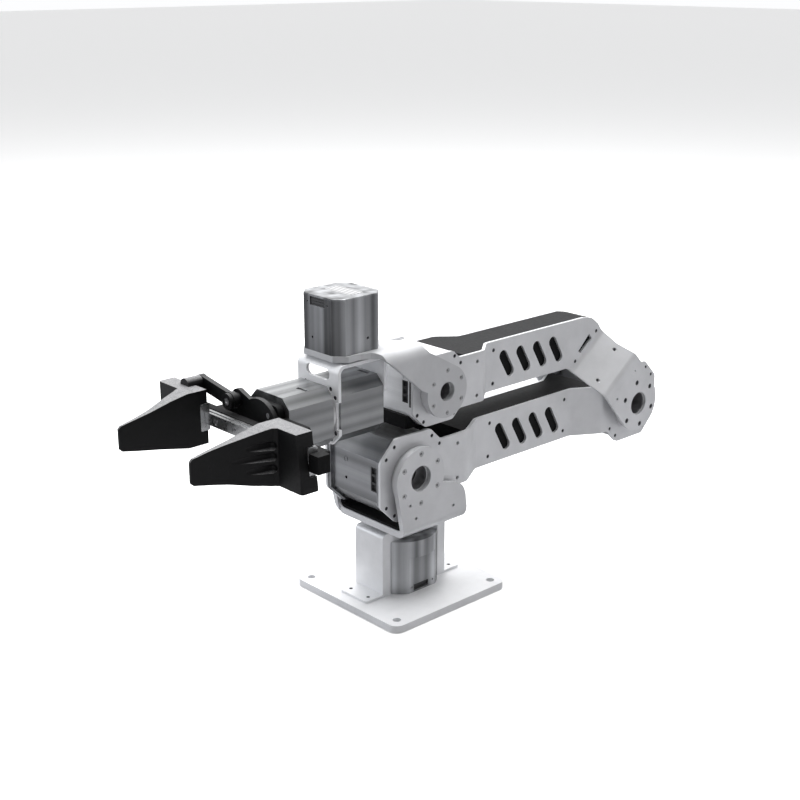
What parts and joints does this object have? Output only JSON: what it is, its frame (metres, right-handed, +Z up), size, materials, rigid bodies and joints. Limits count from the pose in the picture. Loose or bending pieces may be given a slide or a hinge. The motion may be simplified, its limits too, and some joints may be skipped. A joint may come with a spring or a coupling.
{
  "type": "desktop robot arm",
  "caption": "Folded desktop robot arm with a parallel two-finger gripper on a square base plate, joined by boxy gear motors.",
  "frame": {"origin": "centre of the base plate's underside, on the first joint's axis", "axes": "+X forward, towards the gripper; +Y to the arm's left; +Z up, along the first joint's axis"},
  "size_m": [0.5004, 0.1784, 0.2513],
  "materials": {
    "plate_aluminium": "bead-blasted clear anodised",
    "link_aluminium": "bead-blasted anodised",
    "motor_aluminium": "satin anodised",
    "motor_steel": "machined",
    "flange_steel": "turned",
    "flange_dark": "black anodised",
    "black_plastic": "fine texture",
    "crank_plastic": "fine texture",
    "finger_plastic": "fine texture",
    "connector_plastic": "moulded",
    "steel_screws": "zinc plated",
    "dark_screws": "black oxide",
    "rail_steel": "ground"
  },
  "bodies": {
    "base": {"base_plate": "plate_aluminium", "base_tower": "plate_aluminium", "foot_screws": "dark_screws", "j1_housing": "motor_aluminium", "j1_core": "motor_steel", "j1_connector": "connector_plastic"},
    "turret": {"j1_flange": "flange_dark", "shoulder_bracket": "plate_aluminium", "shoulder_liner": "black_plastic", "shoulder_screws": "steel_screws", "j2_flanges": "flange_steel"},
    "upper_arm": {"lower_plate_left": "link_aluminium", "lower_plate_right": "link_aluminium", "lower_cover": "black_plastic", "lower_screws": "dark_screws", "j2_housing": "motor_aluminium", "j2_core": "motor_steel", "j2_connector": "connector_plastic", "j3_housing": "motor_aluminium", "j3_core": "motor_steel", "j3_connector": "connector_plastic"},
    "forearm": {"forearm_plate_left": "link_aluminium", "forearm_plate_right": "link_aluminium", "forearm_cover": "black_plastic", "forearm_screws": "dark_screws", "j3_flanges": "flange_steel", "j4_housing": "motor_aluminium", "j4_core": "motor_steel", "j4_connector": "connector_plastic"},
    "wrist": {"wrist_yoke": "plate_aluminium", "yoke_screws": "steel_screws", "j4_flanges": "flange_steel", "j5_housing": "motor_aluminium", "j5_cap": "motor_aluminium", "j5_core": "motor_steel", "j5_connector": "connector_plastic"},
    "hand": {"j5_flange": "flange_dark", "hand_bracket": "plate_aluminium", "hand_screws": "dark_screws", "j6_housing": "motor_aluminium", "j6_core": "motor_steel", "j6_connector": "connector_plastic"},
    "gripper": {"j6_flange": "flange_steel", "grip_housing": "motor_aluminium", "grip_core": "motor_steel", "grip_connector": "connector_plastic", "grip_frame": "black_plastic", "rail_bar": "black_plastic", "linear_rail": "rail_steel", "rail_screws": "steel_screws"},
    "crank_body": {"crank": "crank_plastic", "crank_screws": "steel_screws"},
    "link_upper_body": {"link_upper": "crank_plastic"},
    "link_lower_body": {"link_lower": "crank_plastic"},
    "jaw_right": {"carriage_right": "rail_steel", "finger_right": "finger_plastic", "finger_right_screws": "steel_screws"},
    "jaw_left": {"carriage_left": "rail_steel", "finger_left": "finger_plastic", "finger_left_screws": "steel_screws"}
  },
  "joints": [
    {"name": "base_yaw", "type": "hinge", "parent": "base", "child": "turret", "pos_m": [0, 0, 0.06], "axis": [0, 0, 1], "range_deg": [-150, 150]},
    {"name": "shoulder_pitch", "type": "hinge", "parent": "turret", "child": "upper_arm", "pos_m": [0.0162, 0, 0.1074], "axis": [0, 1, 0], "range_deg": [0, 80]},
    {"name": "elbow_pitch", "type": "hinge", "parent": "upper_arm", "child": "forearm", "pos_m": [-0.2456, 0, 0.1082], "axis": [0, -1, 0], "range_deg": [0, 170]},
    {"name": "wrist_pitch", "type": "hinge", "parent": "forearm", "child": "wrist", "pos_m": [-0.0129, 0, 0.1689], "axis": [0, -1, 0], "range_deg": [-2, 80]},
    {"name": "wrist_yaw", "type": "hinge", "parent": "wrist", "child": "hand", "pos_m": [0.0581, 0, 0.2], "axis": [0, 0, 1], "range_deg": [-85, 85]},
    {"name": "hand_roll", "type": "hinge", "parent": "hand", "child": "gripper", "pos_m": [0.081, 0, 0.1666], "axis": [1, 0, 0], "range_deg": [-120, 120]},
    {"name": "crank_turn", "type": "hinge", "parent": "gripper", "child": "crank_body", "pos_m": [0.132, 0, 0.1666], "axis": [-1, 0, 0], "range_deg": [0, 91]},
    {"name": "link_upper_pivot", "type": "hinge", "parent": "crank_body", "child": "link_upper_body", "pos_m": [0.1397, -0.024, 0.1811], "axis": [-1, 0, 0], "range_deg": [-113, 2]},
    {"name": "link_lower_pivot", "type": "hinge", "parent": "crank_body", "child": "link_lower_body", "pos_m": [0.1397, 0.024, 0.1521], "axis": [-1, 0, 0], "range_deg": [-113, 2]},
    {"name": "jaw_right_slide", "type": "slide", "parent": "gripper", "child": "jaw_right", "axis": [0, 1, 0], "range_m": [0, 0.0386]},
    {"name": "jaw_left_slide", "type": "slide", "parent": "gripper", "child": "jaw_left", "axis": [0, -1, 0], "range_m": [0, 0.0386]}
  ],
  "couplings": [
    {"joint": "link_upper_pivot", "follows": "crank_turn", "ratio": -1.22},
    {"joint": "link_lower_pivot", "follows": "crank_turn", "ratio": -1.22},
    {"joint": "jaw_right_slide", "follows": "crank_turn", "m_per_rad": 0.024241},
    {"joint": "jaw_left_slide", "follows": "crank_turn", "m_per_rad": 0.024241}
  ]
}
